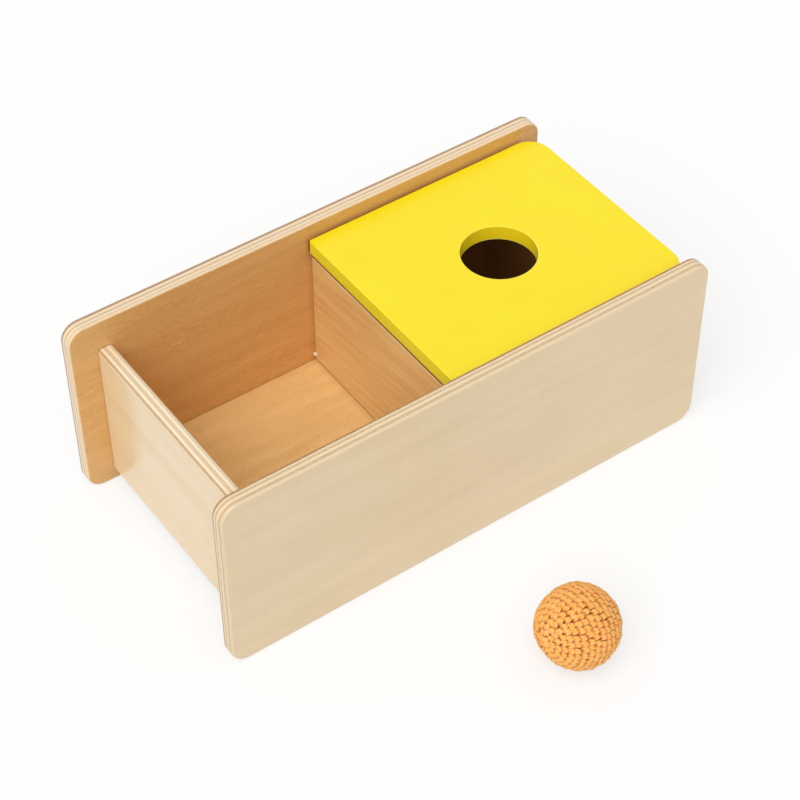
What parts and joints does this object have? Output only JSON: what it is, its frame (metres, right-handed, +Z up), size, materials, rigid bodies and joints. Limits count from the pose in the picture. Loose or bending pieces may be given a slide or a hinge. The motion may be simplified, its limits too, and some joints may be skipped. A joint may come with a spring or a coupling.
{
  "type": "object permanence box",
  "caption": "Wooden object permanence box: an open tray beside a covered half with a tipping painted lid, and a soft crocheted ball that is pushed through the round hole in the lid.",
  "frame": {"origin": "middle of the set's footprint at table level, with the box behind and the ball in front", "axes": "+X along the box towards the lid end, +Z up, -Y towards the ball in front of the box"},
  "size_m": [0.305, 0.2732, 0.1175],
  "materials": {
    "plywood": "sanded birch plywood, clear oil",
    "divider_wood": "sanded straight-grained wood, clear oil",
    "floor_ply": "sanded birch plywood, clear oil",
    "lid_paint": "satin yellow paint on plywood",
    "pin_steel": "plain ground pin",
    "dowel_wood": "raw beech",
    "ball_yarn": "crocheted cotton yarn",
    "ball_fibre": "loose fibre filling"
  },
  "bodies": {
    "box": {"near_side_panel": "plywood", "far_side_panel": "plywood", "tray_end_panel": "plywood", "lid_end_panel": "plywood", "divider": "divider_wood", "floor_panel": "floor_ply", "tray_end_dowels": "dowel_wood", "lid_end_dowels": "dowel_wood", "divider_dowels": "dowel_wood", "floor_dowels": "dowel_wood"},
    "lid": {"lid": "lid_paint", "lid_pivot_pins": "pin_steel"},
    "ball": {"ball_cover": "ball_yarn", "ball_stuffing": "ball_fibre"}
  },
  "joints": [
    {"name": "lid_hinge", "type": "hinge", "parent": "box", "child": "lid", "pos_m": [0.132, 0.05862, 0.10405], "axis": [0, 1, 0], "range_deg": [0, 98]},
    {"name": "ball_lift", "type": "slide", "parent": "box", "child": "ball", "axis": [0, 0, 1], "range_m": [0, 0.15]}
  ]
}
